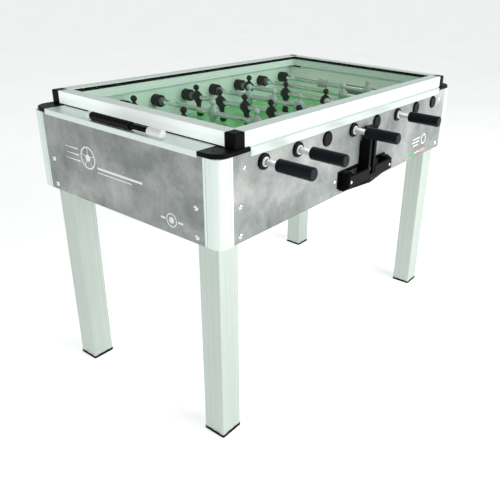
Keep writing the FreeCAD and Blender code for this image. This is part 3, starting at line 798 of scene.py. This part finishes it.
def bar(u0, v0, u1, v1, width0, width1):
    """A straight bar from one point to another, with its width at each end."""
    direction = Vector((u1 - u0, v1 - v0)).normalized()
    side = Vector((-direction.y, direction.x))
    a, b = side * width0 / 2, side * width1 / 2
    return [(u0 - a.x, v0 - a.y), (u1 - b.x, v1 - b.y), (u1 + b.x, v1 + b.y), (u0 + a.x, v0 + a.y)]


def ring_decal(shape, centre, radius, width, place):
    """A thin raised circle line, with radius as its outer radius."""
    inner = radius - width
    section = ((inner, 0.0), (radius, 0.0), (radius, PRINT_THICKNESS), (inner, PRINT_THICKNESS))
    rings = []
    for i in range(RING_STEPS + 1):
        angle = 2 * math.pi * i / RING_STEPS
        c, s = math.cos(angle), math.sin(angle)
        rings.append([place(centre[0] + r * c, centre[1] + r * s, lift) for r, lift in section])
    loft(shape, rings)


def polygon(centre, radius, sides):
    """A regular polygon with a corner at the top."""
    points = []
    for i in range(sides):
        angle = math.radians(90.0 + 360.0 * i / sides)
        points.append((centre[0] + radius * math.cos(angle), centre[1] + radius * math.sin(angle)))
    return points


def make_graphics():
    """A ball with speed stripes, a long underline and a small round badge, all plain shapes."""
    art = bmesh.new()
    ball = (-0.130, 0.792)
    ring_decal(art, ball, 0.034, 0.0045, on_end_panel)
    decal(art, polygon(ball, 0.0125, 5), on_end_panel)
    for i in range(5):
        angle = math.radians(90 + 72 * i)
        c, s = math.cos(angle), math.sin(angle)
        start = (ball[0] + 0.0135 * c, ball[1] + 0.0135 * s)
        end = (ball[0] + 0.029 * c, ball[1] + 0.029 * s)
        decal(art, bar(*start, *end, 0.0022, 0.0022), on_end_panel)
    for i, (start, length) in enumerate(((-0.238, 0.062), (-0.230, 0.058), (-0.238, 0.070))):
        v = ball[1] + 0.018 - 0.018 * i
        decal(art, bar(start, v, start + length, v, 0.0012, 0.0050), on_end_panel)
    decal(art, bar(-0.090, 0.770, 0.104, 0.770, 0.0070, 0.0070), on_end_panel)
    decal(art, bar(-0.090, 0.757, 0.060, 0.757, 0.0030, 0.0030), on_end_panel)
    badge = (0.212, 0.694)
    ring_decal(art, badge, 0.020, 0.0030, on_end_panel)
    decal(art, polygon(badge, 0.0100, 6), on_end_panel)
    decal(art, bar(0.170, 0.694, 0.188, 0.694, 0.0060, 0.0060), on_end_panel)
    decal(art, bar(0.236, 0.694, 0.256, 0.694, 0.0060, 0.0060), on_end_panel)
    piece("end_panel_print", art, "print", "cabinet", smooth=False)

    front = bmesh.new()
    ring_decal(front, (0.478, 0.716), 0.021, 0.0050, on_front_panel)
    for i, (start, end) in enumerate(((0.386, 0.446), (0.378, 0.440), (0.392, 0.436))):
        v = 0.728 - 0.013 * i
        decal(front, bar(start, v, end, v, 0.0050, 0.0050), on_front_panel)
    decal(front, bar(0.405, 0.672, 0.452, 0.672, 0.0040, 0.0040), on_front_panel)
    piece("front_panel_print", front, "print", "cabinet", smooth=False)
    colour_bars = (
        ("colour_bar_green", "print_green", 0.362, 0.402),
        ("colour_bar_coral", "print_coral", 0.456, 0.500),
    )
    for name, key, u0, u1 in colour_bars:
        shape = bmesh.new()
        decal(shape, bar(u0, 0.672, u1, 0.672, 0.013, 0.013), on_front_panel)
        piece(name, shape, key, "cabinet", smooth=False)


# Small hardware ----------------------------------------------------------------------------------


def screw_head(shape, point, outward, radius, height):
    """A pan head with a round recess."""
    outline = [
        (-0.0002, radius),
        (height * 0.45, radius),
        (height * 0.85, radius * 0.86),
        (height, radius * 0.62),
        (height, radius * 0.46),
        (height * 0.35, radius * 0.40),
        (height * 0.35, radius * 0.05),
    ]
    lathe(shape, outline, point, outward, 20)


def make_hardware():
    """Screws in the cover's end rails, along the inner walls' tops and on the corner plates."""
    up = (0, 0, 1)
    recess_depth = 0.0013
    recess_setback = 0.018
    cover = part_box("cover_rails")[1]
    heads = bmesh.new()
    for sx in (-1, 1):
        for y in (-0.262, 0.0, 0.262):
            point = (sx * (cover.x - recess_setback), y, cover.z - recess_depth)
            screw_head(heads, point, up, 0.0042, 0.0011)
    wall_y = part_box("wall_cups")[1].y
    strip_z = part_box("side_skirts")[1].z - 0.006
    for i in range(9):
        x = (i - 4) * 0.132
        for sy in (-1, 1):
            screw_head(heads, (x, sy * wall_y, strip_z), (0, -sy, 0), 0.0028, 0.0010)
    piece("cover_screws", heads, "chrome", "cabinet")
    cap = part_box("corner_caps")[1]
    plate_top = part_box("end_ledges")[1].z
    dark = bmesh.new()
    for sx in (-1, 1):
        for sy in (-1, 1):
            point = (sx * (cap.x - 0.030), sy * (cap.y - 0.044), plate_top)
            screw_head(dark, point, up, 0.0045, 0.0008)
    piece("plate_screws", dark, "black_gloss", "cabinet")


def make_counter_shafts():
    """A black sleeve on each score counter's shaft, between its supports."""
    length = 0.2362
    inner, outer = 6.9 * MM, 7.06 * MM
    profile = [(0.0, inner), (0.0, outer), (length, outer), (length, inner)]
    for sx, name in ((-1, "score_beads_left"), (1, "score_beads_right")):
        low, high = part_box(name)
        x, z = (low.x + high.x) / 2, (low.z + high.z) / 2
        start = high.y if sx < 0 else low.y
        shape = bmesh.new()
        closed_lathe(shape, profile, (x, start, z), (0, sx, 0), 28)
        piece("counter_shaft_" + name.split("_")[-1], shape, "black_gloss", "cabinet")


def make_cover_seal():
    """The black strip that the cover's end rails stand on."""
    low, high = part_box("cover_rails")
    shape = bmesh.new()
    proud = 0.0006
    sunk = 0.002
    reach = high.y - 0.036
    for sx in (-1, 1):
        outer = sx * high.x + sx * proud
        inner = sx * high.x - sx * sunk
        section = [(inner, low.z), (outer, low.z), (outer, low.z + 0.0028), (inner, low.z + 0.0034)]
        loft(shape, [[Vector((x, y, z)) for x, z in section] for y in (-reach, reach)])
    piece("cover_seal", shape, "seal", "cabinet", smooth=False)


def make_coin_strip():
    """The brass guide at the back of the coin column's slot."""
    low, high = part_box("coin_column")
    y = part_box("release_knob")[1].y + 0.0014
    half = 0.0092
    thick = 0.0012
    edge = 0.0006
    z0 = low.z + 0.002
    z1 = high.z - 0.014
    steps = 24
    shape = bmesh.new()
    rings = []
    for i in range(steps + 1):
        z = z0 + (z1 - z0) * i / steps
        ring = [
            Vector((-half, y, z)),
            Vector((half, y, z)),
            Vector((half, y - thick + edge, z)),
            Vector((half - edge, y - thick, z)),
            Vector((-half + edge, y - thick, z)),
            Vector((-half, y - thick + edge, z)),
        ]
        rings.append(ring)
    loft(shape, rings)
    piece("coin_strip", shape, "brass", "cabinet", smooth=False)


# Build -------------------------------------------------------------------------------------------

make_camera()
make_studio()
dress_nodes()
make_players()
make_rod_fittings()
make_field_markings()
make_graphics()
make_hardware()
make_counter_shafts()
make_cover_seal()
make_coin_strip()
